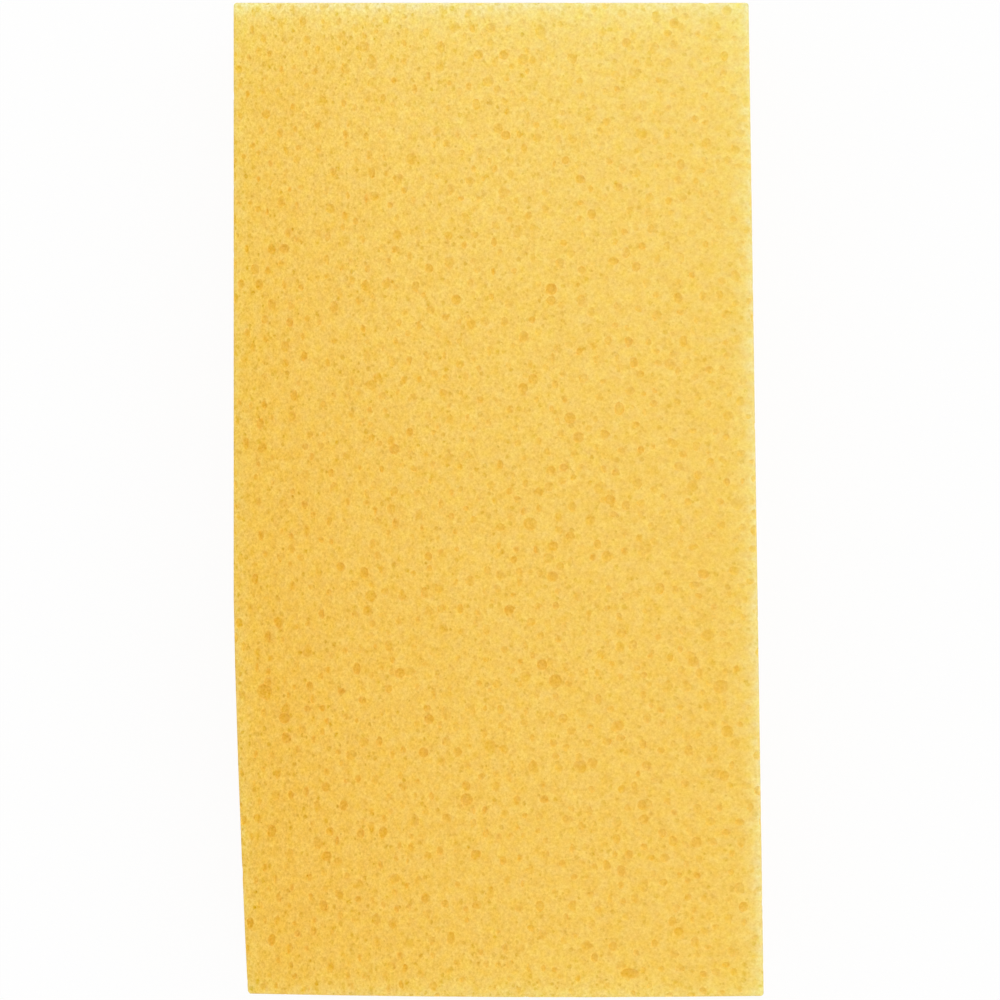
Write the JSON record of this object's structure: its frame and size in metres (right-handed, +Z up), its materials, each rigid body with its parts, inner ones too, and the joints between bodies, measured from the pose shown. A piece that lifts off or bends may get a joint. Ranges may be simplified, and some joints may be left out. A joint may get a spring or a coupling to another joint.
{
  "type": "drywall sanding sponge",
  "caption": "Rectangular block of open-cell foam for smoothing drywall joints, sawn a little out of square, with fine pores on every face.",
  "frame": {"origin": "middle of the block's footprint, on the surface that its underside rests on", "axes": "+Z up through the thickness, +Y along the length towards the straight head end, +X towards the side that runs outwards to the foot end"},
  "size_m": [0.1194, 0.224, 0.038],
  "materials": {
    "foam": "dry open-cell polyurethane foam, yellow, matt"
  },
  "bodies": {
    "root": {"foam_block": "foam"}
  },
  "joints": []
}
